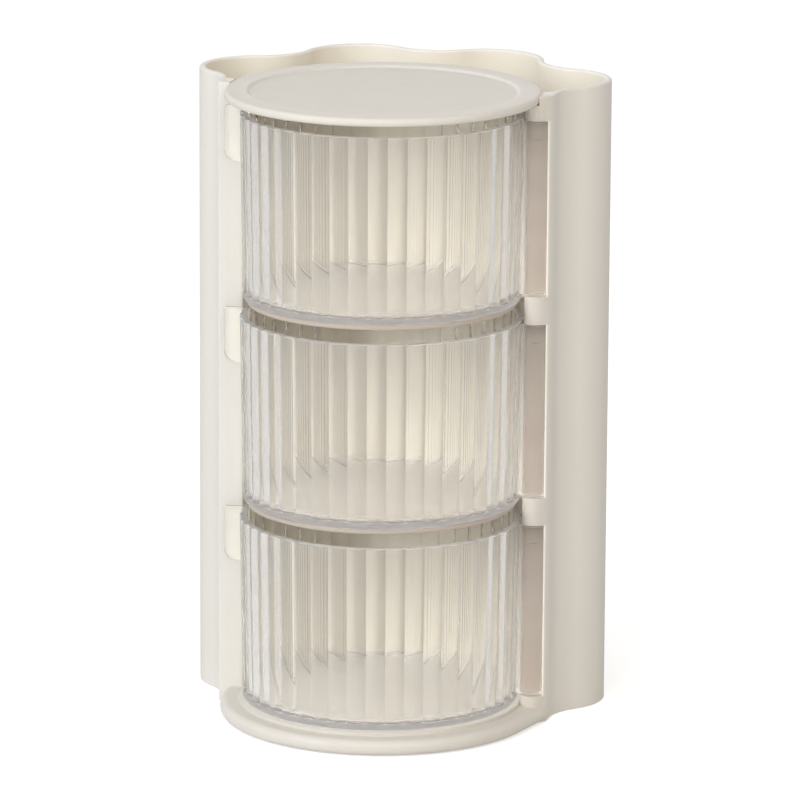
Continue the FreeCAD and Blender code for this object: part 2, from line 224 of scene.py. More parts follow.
def run_of(arcs: list[Arc], step: float) -> tuple[Array, Array]:
    """Points and outward normals along a run of tangent arcs, with its last point."""
    pairs = [arc.sample(step) for arc in arcs]
    pairs.append(arcs[-1].at(np.array([arcs[-1].end])))
    return np.concatenate([p for p, _ in pairs]), np.concatenate([n for _, n in pairs])


def rounded(corners: list[Triple], closed: bool = True, steps: int = 6,
            guard: float = 0.35, room_share: float = 0.45) -> Array:
    """Outline whose corners are arcs, with a guard point just before and after each arc.

    Args:
        corners: Each corner's two coordinates and the radius of its arc.
        closed: Whether the last corner runs back to the first.
        steps: Points in each arc, less one.
        guard: Distance of the guard points from the arc.
        room_share: Share of the straight room between two arcs that a guard point may take.

    Returns:
        Points of shape (n, 2). An open outline keeps its two ends as they are.
    """
    places = np.array([c[:2] for c in corners], float)
    radii = np.array([c[2] for c in corners], float)
    if not closed:
        radii[[0, -1]] = 0.0
    ways = np.roll(places, -1, 0) - places
    lengths = np.hypot(ways[:, 0], ways[:, 1])
    ways = ways / lengths[:, None]
    openings = np.arccos(np.clip(-(np.roll(ways, 1, 0) * ways).sum(1), -1, 1))
    reaches = np.where(radii > 0, radii / np.tan(openings / 2), 0.0)
    room = np.maximum(lengths - reaches - np.roll(reaches, -1), 0.0)
    guards = np.minimum(guard, room_share * room)
    out: list[Array] = []
    for index, (here, radius, reach) in enumerate(zip(places, radii, reaches)):
        if radius <= 0:
            out.append(here[None])
            continue
        before, after = -ways[index - 1], ways[index]
        middle = before + after
        centre = here + middle / np.hypot(*middle) * radius / math.sin(openings[index] / 2)
        spoke = here + before * reach - centre
        sense = 1.0 if before[0] * after[1] - before[1] * after[0] < 0 else -1.0
        turn = sense * np.linspace(0, math.pi - openings[index], steps + 1)[:, None]
        arc = centre + spoke * np.cos(turn) + np.array([-spoke[1], spoke[0]]) * np.sin(turn)
        lead = here + before * (reach + guards[index - 1])
        trail = here + after * (reach + guards[index])
        out.append(np.concatenate([lead[None], arc, trail[None]]))
    return np.concatenate(out)


def wall_profile(thick: float, low: float, high: float, foot: float, rim: float) -> Array:
    """Section of an upright wall as inset and height, with rounded feet and rims."""
    return rounded([(0, low, foot), (0, high, rim), (thick, high, rim), (thick, low, foot)])


def disc_profile(radius: float, low: float, high: float, rounds: Pair) -> Array:
    """Profile of a disc from pole to pole, with a rounded lower and upper edge."""
    return rounded([(0, low, 0), (radius, low, rounds[0]), (radius, high, rounds[1]), (0, high, 0)],
                   closed=False)


def normals_of(loop: Array) -> Array:
    """Outward unit normals of a closed plan loop that runs anticlockwise."""
    along = np.roll(loop, -1, 0) - np.roll(loop, 1, 0)
    length = np.maximum(np.hypot(along[:, 0], along[:, 1]), 1e-9)[:, None]
    return np.stack([along[:, 1], -along[:, 0]], 1) / length


def smooth_step(value: Array, low: float, high: float) -> Array:
    """Smooth rise from 0 at low to 1 at high, by the formula 3 t^2 - 2 t^3."""
    share = np.clip((value - low) / (high - low), 0, 1)
    return share * share * (3 - 2 * share)


def bell(value: Array, middle: float, width: float) -> Array:
    """Bell curve of height 1, by the formula exp(-((value - middle) / width)^2)."""
    return np.exp(-((value - middle) / width) ** 2)


class Skin:
    """Gathers closed surfaces and makes one mesh of them."""

    def __init__(self) -> None:
        self.points: list[Array] = []
        self.marks: dict[Mark, list[Array]] = {mark: [] for mark in Mark}
        self.faces: list[Array] = []
        self.count = 0

    def place(self, points: Array, marks: Marks) -> Array:
        """Add points with their marks and return their indices."""
        self.points.append(points)
        for mark, values in self.marks.items():
            values.append(np.broadcast_to(marks.get(mark, 0.0), len(points)))
        index = np.arange(self.count, self.count + len(points))
        self.count += len(points)
        return index

    def surface(self, grid: Array, marks: Marks, loop_u: bool, loop_v: bool,
                tips: tuple[Array, Array] | None = None) -> None:
        """Add a closed surface given on a grid of two parameters.

        Args:
            grid: Points of shape (n, m, 3).
            marks: Marks of the points, each one to be spread over the shape (n, m).
            loop_u: Whether the first parameter runs back to its start.
            loop_v: Whether the second one does.
            tips: Poles that close the two open ends; without them one flat face closes each end.
        """
        n, m = grid.shape[:2]
        spread = {mark: np.broadcast_to(value, (n, m)).reshape(-1) for mark, value in marks.items()}
        index = self.place(grid.reshape(-1, 3), spread).reshape(n, m)
        wide = np.concatenate([index, index[:1]]) if loop_u else index
        full = np.concatenate([wide, wide[:, :1]], 1) if loop_v else wide
        quads = np.stack([full[:-1, :-1], full[1:, :-1], full[1:, 1:], full[:-1, 1:]], -1)
        parts = [quads.reshape(-1, 4)]
        first, last = (index[0], index[-1]) if loop_v else (index[:, 0][::-1], index[:, -1][::-1])
        for ring, tip in zip((first, last[::-1]), tips or (None, None)):
            if tip is None:
                parts.append(ring[None])
                continue
            near = ring[0] - index[0, 0]
            apex = self.place(np.asarray(tip, float)[None], {mark: spread[mark][near] for mark in spread})
            parts.append(np.stack([np.broadcast_to(apex, ring.shape), ring, np.roll(ring, -1)], 1))
        self.faces.extend(self.outward(parts))

    def outward(self, parts: list[Array]) -> list[Array]:
        """Turn the faces of one closed surface so that they look outwards, by its signed volume."""
        spots = np.concatenate(self.points)
        volume = 0.0
        for faces in parts:
            corners = spots[faces]
            fan = np.cross(corners[:, 1:-1], corners[:, 2:])
            volume += float((corners[:, :1] * fan).sum())
        return parts if volume >= 0 else [faces[:, ::-1] for faces in parts]

    def make(self, name: str, plan: Layout) -> Piece:
        """Make the mesh object, in metres in the part's frame.

        Args:
            name: Name of the object.
            plan: Layout that holds the column's place.

        Returns:
            The linked object, smooth shaded but for its creases, with wear and painted light (the tone)
            as point attributes.
        """
        spots = (np.concatenate(self.points) + np.array([0.0, plan.axis_y, 0.0])) * MM
        sizes = np.concatenate([np.full(len(faces), faces.shape[1]) for faces in self.faces])
        loops = np.concatenate([faces.ravel() for faces in self.faces])
        starts = np.concatenate([[0], np.cumsum(sizes)[:-1]])
        mesh = bpy.data.meshes.new(name)
        mesh.vertices.add(len(spots))
        mesh.vertices.foreach_set("co", spots.astype(np.float32).ravel())
        mesh.loops.add(len(loops))
        mesh.loops.foreach_set("vertex_index", loops.astype(np.int32))
        mesh.polygons.add(len(sizes))
        mesh.polygons.foreach_set("loop_start", starts.astype(np.int32))
        mesh.polygons.foreach_set("use_smooth", np.ones(len(sizes), bool))
        mesh.update(calc_edges=True)
        mesh.validate()
        for mark in (Mark.WEAR, Mark.TONE):
            layer = mesh.attributes.new(mark.value, "FLOAT", "POINT")
            layer.data.foreach_set("value", np.concatenate(self.marks[mark]).astype(np.float32))
        crease = np.concatenate(self.marks[Mark.CREASE]) > 0.5
        if crease.any():
            ends = np.empty(2 * len(mesh.edges), np.int32)
            mesh.edges.foreach_get("vertices", ends)
            layer = mesh.attributes.new("sharp_edge", "BOOLEAN", "EDGE")
            layer.data.foreach_set("value", crease[ends].reshape(-1, 2).all(1))
        piece = bpy.data.objects.new(name, mesh)
        bpy.context.scene.collection.objects.link(piece)
        return piece


def levelled(plan: Array, height: Array) -> Array:
    """Points from places in plan of shape (n, m, 2) and the m heights of their columns."""
    level = np.broadcast_to(height[None, :, None], (*plan.shape[:2], 1))
    return np.concatenate([plan, level], 2)


def swept(skin: Skin, points: Array, normals: Array, profile: Array, marks: Marks,
          thin: Array | float = 1.0) -> None:
    """Carry a closed profile along an open plan path and close both ends.

    A point of the surface is path(u) - normal(u) * inset(v) * thin(u), at the height z(v).

    Args:
        skin: Where the surface goes.
        points: Path of shape (n, 2).
        normals: Outward normals of the path.
        profile: Inset and height of each point of the profile.
        marks: Marks of the profile's points.
        thin: Share of the inset at each point of the path.
    """
    plan = points[:, None] - (normals * np.reshape(thin, (-1, 1)))[:, None] * profile[None, :, :1]
    skin.surface(levelled(plan, profile[:, 1]), marks, False, True)


@dataclass(frozen=True)
class EdgeForm:
    """How a rounded edge is drawn, in radii of the edge where nothing else is said."""

    points: int = 5
    guard: float = 1.5
    guard_height: float = 0.3
    cap_inset: float = 0.2
    worn_at: float = 0.3
    worn_width: float = 0.25


EDGE = EdgeForm()


def raised(skin: Skin, loop: Array, low: float, high: float, edge: float,
           lay: tuple[int, int, int] = (0, 1, 2), tone: Array | float = PLAIN) -> None:
    """Raise a closed plan loop between two heights, with rounded edges.

    A point of the surface is loop(u) - normal(u) * inset(v), at the height z(v), where inset and
    z follow a quarter circle at each edge.

    Args:
        skin: Where the surface goes.
        loop: Anticlockwise loop of shape (n, 2).
        low: Height of the underside.
        high: Height of the top.
        edge: Radius of the rounded edges.
        lay: Order in which the plan's two axes and the height become x, y and z.
        tone: Painted light of the loop's points, on the scale of the tones.
    """
    turn = np.linspace(0, math.pi / 2, EDGE.points)
    lift = edge * (1 - np.cos(turn))
    guard = min(EDGE.guard * edge, (high - low) * EDGE.guard_height)
    cap = [edge + guard * EDGE.cap_inset]
    inset = edge * (1 - np.concatenate([np.sin(turn), [1.0, 1.0], np.cos(turn)]))
    inset = np.concatenate([cap, inset, cap])
    height = np.concatenate([[low], low + lift, [low + edge + guard, high - edge - guard],
                             (high - lift)[::-1], [high]])
    plan = loop[:, None] - normals_of(loop)[:, None] * inset[None, :, None]
    marks: Marks = {Mark.WEAR: bell(inset, EDGE.worn_at * edge, EDGE.worn_width * edge),
                    Mark.TONE: np.reshape(tone, (-1, 1))}
    skin.surface(levelled(plan, height)[..., list(lay)], marks, True, False)


def turned(skin: Skin, profile: Array, marks: Marks, count: int,
           swell: Array | float = 0.0, centre: Pair = (0.0, 0.0)) -> None:
    """Turn a profile round a vertical axis and close it at both poles.

    A point of the surface is (r(u, v) cos u, r(u, v) sin u, z(v)), where r is the profile's radius
    plus the swell.

    Args:
        skin: Where the surface goes.
        profile: Radius and height of each point, from pole to pole.
        marks: Marks of the profile's points, or of the points of all columns.
        count: Points round the axis.
        swell: Added radius, spread over the shape (count, len(profile)).
        centre: Place of the axis.
    """
    shape = (count, len(profile))
    angle = np.linspace(0, WHOLE, count, endpoint=False)[:, None]
    radius = (profile[None, :, 0] + np.broadcast_to(swell, shape))[:, 1:-1]
    grid = levelled(np.array(centre) + polar(radius, angle), profile[1:-1, 1])
    tips = tuple(np.array([*centre, z]) for z in profile[[0, -1], 1])
    spread = {mark: np.broadcast_to(value, shape)[:, 1:-1] for mark, value in marks.items()}
    skin.surface(grid, spread, True, False, tips)


class Nodes:
    """Builds one node tree, a material's or a group's."""

    def __init__(self, tree: Tree) -> None:
        self.tree = tree

    def add(self, kind: str, given: dict | None = None, **settings: object) -> Node:
        """Add a node, set its properties and feed its inputs."""
        node = self.tree.nodes.new(kind)
        for name, setting in settings.items():
            setattr(node, name, setting)
        self.feed(node, given or {})
        return node

    def feed(self, node: Node, given: dict) -> None:
        """Link inputs of a node to sockets, or set them to constants; a colour is three numbers."""
        for key, value in given.items():
            socket = node.inputs[key]
            if isinstance(value, Socket):
                self.tree.links.new(value, socket)
            else:
                socket.default_value = (*value, 1.0) if socket.type == "RGBA" else value

    def where(self) -> Socket:
        """Place on the object, in metres."""
        return self.add("ShaderNodeTexCoord").outputs["Object"]

    def mark(self, mark: Mark) -> Socket:
        """Mark that the mesh keeps for its points."""
        return self.add("ShaderNodeAttribute", attribute_name=mark.value).outputs["Fac"]

    def noise(self, where: Socket, scale: float, detail: float) -> Socket:
        """Noise over the surface, in features per metre."""
        given = {"Vector": where, "Scale": scale, "Detail": detail}
        return self.add("ShaderNodeTexNoise", given).outputs["Fac"]

    def span(self, source: Socket, low: float, high: float,
             start: float = 0.3, end: float = 0.7) -> Socket:
        """Carry a value from the range start to end over to low to high."""
        given = {"Value": source, "From Min": start, "From Max": end, "To Min": low, "To Max": high}
        return self.add("ShaderNodeMapRange", given).outputs["Result"]

    def math(self, operation: str, *terms: Socket | float) -> Socket:
        """Result of a calculation with values, each a socket or a number."""
        return self.add("ShaderNodeMath", dict(enumerate(terms)), operation=operation).outputs[0]

    def blend(self, share: Socket, first: Socket | Rgb,
              second: Socket | Rgb) -> Socket:
        """Mix two colours by a share."""
        return self.add("ShaderNodeMix", {0: share, 6: first, 7: second}, data_type="RGBA").outputs[2]

    def bump(self, height: Socket, strength: float, distance: float) -> Socket:
        """Normal of a fine relief, its distance in metres."""
        given = {"Height": height, "Strength": strength, "Distance": distance}
        return self.add("ShaderNodeBump", given).outputs["Normal"]

    def show(self, surface: Socket) -> None:
        """Make a shader the material's surface."""
        self.feed(self.tree.nodes["Material Output"], {"Surface": surface})


def new_material(name: str) -> tuple[Material, Nodes, Node]:
    """Start a material, given with its nodes and its shader."""
    material = bpy.data.materials.new(name)
    material.use_nodes = True
    return material, Nodes(material.node_tree), material.node_tree.nodes["Principled BSDF"]


def new_group(name: str, inputs: dict[str, Rgb | float],
              outputs: dict[str, str]) -> tuple[Nodes, dict[str, Socket], Node]:
    """Start a shader node group.

    Args:
        name: Name of the group.
        inputs: Each input's default, a number or a colour.
        outputs: Each output's socket type.

    Returns:
        The group's nodes, its input sockets by name and the node that takes its results.
    """
    tree = bpy.data.node_groups.new(name, "ShaderNodeTree")
    for label, default in inputs.items():
        coloured = isinstance(default, tuple)
        kind = "NodeSocketColor" if coloured else "NodeSocketFloat"
        socket = tree.interface.new_socket(label, in_out="INPUT", socket_type=kind)
        socket.default_value = (*default, 1.0) if coloured else default
    for label, kind in outputs.items():
        tree.interface.new_socket(label, in_out="OUTPUT", socket_type=kind)
    nodes = Nodes(tree)
    return nodes, nodes.add("NodeGroupInput").outputs, nodes.add("NodeGroupOutput")


@dataclass(frozen=True)
class MouldedLook:
    """Noises of moulded plastic, in features per metre and detail, and how strongly each shows."""

    cloud: Pair = (28.0, 3.0)
    flow: Pair = (160.0, 2.0)
    grain: Pair = (2600.0, 2.0)
    deepest: float = 0.5
    # Least share of the painted bounce light, where the cloud is densest.
    faintest_bounce: float = 0.93
    rub: Pair = (0.15, 0.6)
    flow_gloss: Pair = (-0.04, 0.05)
    grain_gloss: Pair = (-0.02, 0.02)
    rub_gloss: float = 0.08
    flow_relief: float = 3.0
    grain_relief: float = 0.6
    relief: float = 0.00004
    index: float = 1.46


MOULDED = MouldedLook()
# Inside, Bay and Recess are painted light: bounce light, bay shade, recess shade.
COLOURS = ("Colour", "Deep", "Rubbed", "Inside", "Bay", "Recess")


@cache
def moulded_group() -> Tree:
    """Group for moulded plastic: cloudy colour, painted bounce light and painted shade from the tone
    mark, satin mottling, grain, rubbed edges.
    """
    nodes, given, result = new_group(
        "moulded_surface", {**dict.fromkeys(COLOURS, WHITE), "Gloss": 0.4},
        {"Colour": "NodeSocketColor", "Roughness": "NodeSocketFloat", "Height": "NodeSocketFloat"})
    where = nodes.where()
    noises = (MOULDED.cloud, MOULDED.flow, MOULDED.grain)
    cloud, flow, grain = (nodes.noise(where, *noise) for noise in noises)
    worn, tone = nodes.mark(Mark.WEAR), nodes.mark(Mark.TONE)
    base = nodes.blend(nodes.span(cloud, 0.0, MOULDED.deepest), given["Colour"], given["Deep"])
    # Painted light from the tone mark: Inside paints bounce light, faded a little by the cloud, Bay
    # paints shade with warm bounce light, Recess paints shade.
    bounce_lit = nodes.math("MULTIPLY", nodes.span(tone, 0.0, 1.0, PLAIN, INSIDE_BOUNCE_LIGHT),
                      nodes.span(cloud, 1.0, MOULDED.faintest_bounce))
    base = nodes.blend(bounce_lit, base, given["Inside"])
    base = nodes.blend(nodes.span(tone, 0.0, 1.0, INSIDE_BOUNCE_LIGHT, BAY_SHADE), base, given["Bay"])
    base = nodes.blend(nodes.span(tone, 1.0, 0.0, RECESS_SHADE, PLAIN), base, given["Recess"])
    rub = nodes.math("MULTIPLY", worn, nodes.span(flow, *MOULDED.rub))
    satin = nodes.math("ADD", given["Gloss"], nodes.span(flow, *MOULDED.flow_gloss))
    satin = nodes.math("ADD", satin, nodes.span(grain, *MOULDED.grain_gloss))
    polish = nodes.math("MULTIPLY", worn, MOULDED.rub_gloss)
    peel = nodes.math("MULTIPLY", flow, MOULDED.flow_relief)
    grit = nodes.math("MULTIPLY", grain, MOULDED.grain_relief)
    nodes.feed(result, {"Colour": nodes.blend(rub, base, given["Rubbed"]),
                        "Roughness": nodes.math("SUBTRACT", satin, polish),
                        "Height": nodes.math("ADD", peel, grit)})
    return nodes.tree


@dataclass(frozen=True)
class MouldedFinish:
    """Satin moulded plastic or rubber, linear colours."""

    name: str
    slot: Slot
    colour: Rgb
    deep: Rgb
    rubbed: Rgb
    # Painted light, not colours the plastic has: inside is painted bounce light, bay painted shade with
    # warm bounce light, recess painted shade.
    inside: Rgb
    bay: Rgb
    recess: Rgb
    gloss: float
    relief: float

    @cache
    def material(self) -> Material:
        """Make the material the first time it is asked for."""
        material, nodes, shader = new_material(self.name)
        group = nodes.add("ShaderNodeGroup", node_tree=moulded_group())
        nodes.feed(group, {label: getattr(self, label.lower()) for label in (*COLOURS, "Gloss")})
        result = group.outputs
        normal = nodes.bump(result["Height"], self.relief, MOULDED.relief)
        nodes.feed(shader, {"Base Color": result["Colour"], "Roughness": result["Roughness"],
                            "Normal": normal, "IOR": MOULDED.index})
        return material


@dataclass(frozen=True)
class ClearFinish:
    """Clear polished plastic that lets the lamps through."""

    name: str
    slot: Slot
    tint: Rgb
    haze: Rgb
    frost: Rgb
    index: float
    clarity: float
    cloud: Pair = (90.0, 2.0)
    haziest: float = 0.6
    streak: Pair = (420.0, 2.0)
    polish: Pair = (0.012, 0.05)
    frost_rough: float = 0.4
    ripple: Pair = (130.0, 1.0)
    relief: Pair = (0.03, 0.0002)

    @cache
    def material(self) -> Material:
        """Make the material the first time it is asked for."""
        material, nodes, shader = new_material(self.name)
        where, frosted = nodes.where(), nodes.mark(Mark.WEAR)
        hazy = nodes.span(nodes.noise(where, *self.cloud), 0.0, self.haziest)
        polish = nodes.span(nodes.noise(where, *self.streak), *self.polish)
        nodes.feed(shader, {
            "Base Color": nodes.blend(frosted, nodes.blend(hazy, self.tint, self.haze), self.frost),
            "Roughness": nodes.math("MULTIPLY_ADD", frosted, self.frost_rough, polish),
            "Normal": nodes.bump(nodes.noise(where, *self.ripple), *self.relief),
            "Transmission Weight": self.clarity, "IOR": self.index})
        clear = nodes.add("ShaderNodeBsdfTransparent", {"Color": WHITE})
        shadow = nodes.add("ShaderNodeLightPath").outputs["Is Shadow Ray"]
        mix = {0: shadow, 1: shader.outputs["BSDF"], 2: clear.outputs["BSDF"]}
        nodes.show(nodes.add("ShaderNodeMixShader", mix).outputs["Shader"])
        return material


Finish = MouldedFinish | ClearFinish

# The cream's inside, bay and recess colours are painted bounce light, painted bay shade and painted
# recess shade; rubber keeps its own colour in all three.
CREAM = MouldedFinish("cream_satin", Slot.CREAM, colour=(0.78, 0.75, 0.685), deep=(0.77, 0.735, 0.66),
                      rubbed=(0.82, 0.80, 0.75), inside=(0.97, 0.925, 0.82), bay=(0.73, 0.67, 0.56),
                      recess=(0.36, 0.265, 0.185), gloss=0.40, relief=0.5)
RUBBER = MouldedFinish("soft_rubber", Slot.RUBBER, colour=(0.50, 0.49, 0.46), deep=(0.44, 0.43, 0.40),
                       rubbed=(0.56, 0.55, 0.52), inside=(0.50, 0.49, 0.46), bay=(0.50, 0.49, 0.46),
                       recess=(0.44, 0.43, 0.40), gloss=0.75, relief=1.0)
CLEAR = ClearFinish("clear_polished", Slot.CLEAR, tint=(0.995, 0.982, 0.948), haze=(0.98, 0.957, 0.905),
                    frost=(0.95, 0.935, 0.96), index=1.45, clarity=0.91)
MATCHED = ClearFinish("clear_matched", Slot.CLEAR, tint=(1.0, 0.99, 0.965), haze=(0.99, 0.975, 0.94),
                      frost=(0.95, 0.935, 0.96), index=1.03, clarity=0.99)


def dress(piece: Piece, finish: Finish, body: Body, *nodes: str) -> Piece:
    """Give a piece its finish, its body and the CAD nodes that it stands for."""
    piece.data.materials.append(finish.material())
    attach(piece, body.value)
    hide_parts(*nodes)
    LOG.info("%s: %d faces", piece.name, len(piece.data.polygons))
    return piece


@dataclass
class Shell:
    """Lobed wall of the pen trough, with the trough's floor."""

    plan: Layout
    rim_round: float = 0.7
    rim_wear: float = 0.8
    foot: float = 0.1
    foot_round: float = 0.3
    bounce_from: float = 0.4
    floor_top: float = 82.0
    floor_thick: float = 2.2
    floor_fit: float = 0.1
    floor_turn: float = 9.5
    floor_points: int = 9
    end_share: float = 0.45
    end_run: Pair = (3.0, 12.0)
    step: float = 0.9

    def build(self) -> tuple[Piece, Piece]:
        """Make the wall, which is thinner at its two ends, and the trough's floor."""
        plan = self.plan
        points, normals = run_of(lobed_arcs(plan), self.step)
        thick = plan.shell_wall
        profile = wall_profile(thick, self.foot, plan.height, self.foot_round, self.rim_round)
        # The tone mark paints bounce light, paler and warmer, onto the wall's inner face.
        marks: Marks = {Mark.WEAR: bell(profile[:, 1], plan.height, self.rim_wear),
                        Mark.TONE: smooth_step(profile[:, 0], self.bounce_from * thick, thick)}
        along = np.concatenate([[0.0], np.cumsum(np.hypot(*np.diff(points, axis=0).T))])
        full = smooth_step(np.minimum(along, along[::-1]), *self.end_run)
        thin = self.end_share + (1 - self.end_share) * full
        wall, floor = Skin(), Skin()
        swept(wall, points, normals, profile, marks, thin)
        self.lay_floor(floor, points - normals * (thick * thin + self.floor_fit)[:, None])
        return wall.make("shell", plan), floor.make("trough_floor", plan)

    def lay_floor(self, skin: Skin, outside: Array) -> None:
        """Lay the trough's floor as a ruled slab from the column out to the shell.

        A point is the mix of the column's circle and the shell's inside at the same angle.

        Args:
            skin: Where the slab goes.
            outside: Points of the shell's inside.
        """
        angle = np.arctan2(outside[:, 1], outside[:, 0])
        held = np.abs(angle - math.pi / 2) < math.pi / 2 - math.radians(self.floor_turn)
        ring = polar(self.plan.column + self.floor_fit, angle[held])
        share = np.linspace(0, 1, self.floor_points)
        share = np.concatenate([share, share[::-1]])
        level = np.repeat([self.floor_top - self.floor_thick, self.floor_top], self.floor_points)
        plan = ring[:, None] + (outside[held] - ring)[:, None] * share[None, :, None]
        # The trough's floor gets painted bounce light.
        skin.surface(levelled(plan, level), {Mark.TONE: INSIDE_BOUNCE_LIGHT}, False, True)

    def dress(self) -> None:
        """Build and finish both pieces."""
        for piece, node in zip(self.build(), ("outer_shell", "well_floor")):
            dress(piece, CREAM, Body.FRAME, node)


@dataclass
class Column:
    """Wall round the back of the drawers, its two posts, the hinge's lip and the hinge knuckles."""

    plan: Layout
    wall_step: float = 0.9
    wall_round: float = 0.3
    wall_gap: float = 0.004
    bay_from: Pair = (0.5, 1.5)
    right_front: float = 6.1
    left_front: float = 1.4
    # Where painted bounce light begins behind the posts' front faces.
    bounce_behind: float = 1.0
    bounce_within: float = 0.8
    spoke_y: float = 8.7
    cover_room: float = 51.63
    overlap: float = 0.6
    step: float = 0.08
    fit: float = 0.02
    sunk: float = 0.35
    dive_points: int = 14
    back_in: float = 1.0
    back_points: int = 2
    blunt: float = 0.8
    corner: float = 0.6
    hidden_corner: float = 0.2
    edge: float = 0.12
    left_sweep: float = 0.32
    right_sweep: float = 0.12
    lip_x: float = 54.15
    lip_round: float = 0.35
    lip_back_round: float = 0.4
    # Where the painted glint and the painted recess shade lie on the lip.
    lip_glint: Pair = (0.3, 0.9)
    lip_shade_x: float = 0.2
    lip_shade_y: Pair = (0.6, 2.0)
    meet: float = 0.42
    pulls: Pair = (17.0, 13.0)
    flank_points: int = 36
    knuckle: float = 3.7
    knuckle_lifts: Pair = (0.03, 0.04)
    nose_turn: Pair = (188.0, 296.0)
    nose_points: int = 40
    # Painted shade on the knuckles' noses.
    knuckle_shade: float = -0.3
    tone_x: Pair = (53.0, 56.0)
    barrel_gap: float = 0.4

    def build(self) -> Piece:
        """Make the bay wall, the posts and the knuckles as one piece, with each top at its own height."""
        plan = self.plan
        skin = Skin()
        self.raise_wall(skin)
        # Painted light: the right post's front face, behind the barrels, gets painted recess shade; faces
        # further back get painted bounce light.
        for side, front, shade in ((Side.RIGHT, self.right_front, RECESS_SHADE),
                                   (Side.LEFT, self.left_front, PLAIN)):
            loop = side.lay(self.root_loop(front))
            tone = np.where(loop[:, 1] < front + self.bounce_behind, shade, INSIDE_BOUNCE_LIGHT)
            raised(skin, loop, plan.ground, plan.cover_bottom, self.edge, tone=tone)
        loop, tone = self.lip_loop()
        raised(skin, loop, plan.ground, plan.height - 2 * self.step, self.edge, tone=tone)
        # Faces of the left post inside the trough get painted bounce light.
        loop = Side.LEFT.lay(self.left_loop())
        bounce_lit = np.hypot(*loop.T) < plan.post - self.bounce_within
        bounce_lit &= loop[:, 1] > self.left_front + self.bounce_behind
        tone = np.where(bounce_lit, INSIDE_BOUNCE_LIGHT, PLAIN)
        raised(skin, loop, plan.ground, plan.height - self.step, self.edge, tone=tone)
        levels = [(*level, 0.0) for level in self.knuckle_levels()]
        levels.append((levels[-1][0] + self.step, plan.height - self.step, self.cover_room))
        for low, high, root in levels:
            loop, tone = self.knuckle_loop(root)
            raised(skin, loop, low, high, self.edge, tone=tone)
        return skin.make("column", plan)

    def raise_wall(self, skin: Skin) -> None:
        """Carry the bay wall's section round the back."""
        plan = self.plan
        fronts = (self.right_front, self.left_front)
        start, end = (math.asin(front / plan.bay) + self.wall_gap for front in fronts)
        points, normals = run_of([Arc(np.zeros(2), plan.column, start, math.pi - end)], self.wall_step)
        profile = wall_profile(plan.column - plan.bay, plan.ground, plan.cover_bottom,
                               self.wall_round, self.wall_round)
        # Painted light: the wall's trough side gets painted bounce light, its bay side painted shade with
        # warm bounce light.
        tone = INSIDE_BOUNCE_LIGHT + (BAY_SHADE - INSIDE_BOUNCE_LIGHT) * smooth_step(profile[:, 0], *self.bay_from)
        swept(skin, points, normals, profile, {Mark.TONE: tone})

    def spoke(self) -> float:
        """Angle of the face behind a post, in radians."""
        return math.asin(self.spoke_y / self.plan.post)

    def root_loop(self, front: float) -> Array:
        """Plan of a post's root on the right, from the bay out to just past the cover.

        Args:
            front: Distance of the front face behind the column's axis, at the bay.

        Returns:
            Anticlockwise loop of shape (n, 2).
        """
        inner, outer = self.plan.bay + self.fit, self.cover_room + self.overlap
        turn, back = math.asin((front + self.fit) / self.plan.bay), self.spoke()
        hidden = ((*polar(radius, angle), self.hidden_corner)
                  for radius, angle in ((outer, turn), (outer, back), (inner, back)))
        return rounded([(*polar(inner, turn), self.corner), *hidden])

    def dive(self, start: float, sweep: float, lift: float, root: float) -> Array:
        """Points along the throat, ever deeper into the shell's wall, and back behind the post to a root.

        Args:
            start: Angle from the throat's start where the points begin.
            sweep: Angle that they run on.
            lift: How far they begin in front of the shell's surface.
            root: Radius where they end.

        Returns:
            Points of shape (n, 2).
        """
        plan = self.plan
        turn = plan.throat_angle()
        share = np.append(np.linspace(0, 1, self.dive_points), 1.0)
        reach = plan.throat - lift + self.sunk * share ** 2
        reach[-1] += self.blunt
        run = polar(plan.post + plan.throat, turn) + polar(reach, math.pi + turn - start - sweep * share)
        back = polar(np.linspace(plan.post - self.back_in, root, self.back_points), self.spoke())
        return np.concatenate([run, back])

    def flank(self, lift: float) -> Array:
        """Smooth flank from the hinge's nose to the shell's throat.

        It is the cubic that leaves the nose and meets the throat in their own directions.

        Args:
            lift: How far the flank ends in front of the shell's surface.

        Returns:
            Points of shape (n, 2).
        """
        plan = self.plan
        leave = math.radians(self.nose_turn[1])
        meet = math.pi + plan.throat_angle() - self.meet
        nose = plan.hinge + polar(self.knuckle + lift, leave)
        wall = polar(plan.post + plan.throat, plan.throat_angle()) + polar(plan.throat - lift, meet)
        out = polar(self.pulls[0], leave + math.pi / 2)
        into = polar(self.pulls[1], meet - math.pi / 2)
        t = np.linspace(0, 1, self.flank_points)[:, None]
        return ((2 * t ** 3 - 3 * t ** 2 + 1) * nose + (t ** 3 - 2 * t ** 2 + t) * out
                + (3 * t ** 2 - 2 * t ** 3) * wall + (t ** 3 - t ** 2) * into)

    def left_loop(self) -> Array:
        """Plan of the left post outside the cover, laid on the right."""
        turn = math.asin(self.left_front / self.plan.bay)
        rest = self.dive(0.0, self.left_sweep, self.fit, self.cover_room)
        inner, outer = (polar(radius, turn) for radius in (self.cover_room, self.plan.post + self.fit))
        face = rounded([(*rest[-1], 0), (*inner, self.hidden_corner), (*outer, self.corner),
                        (*rest[0], 0)], closed=False)
        return np.concatenate([face[1:-1], rest])

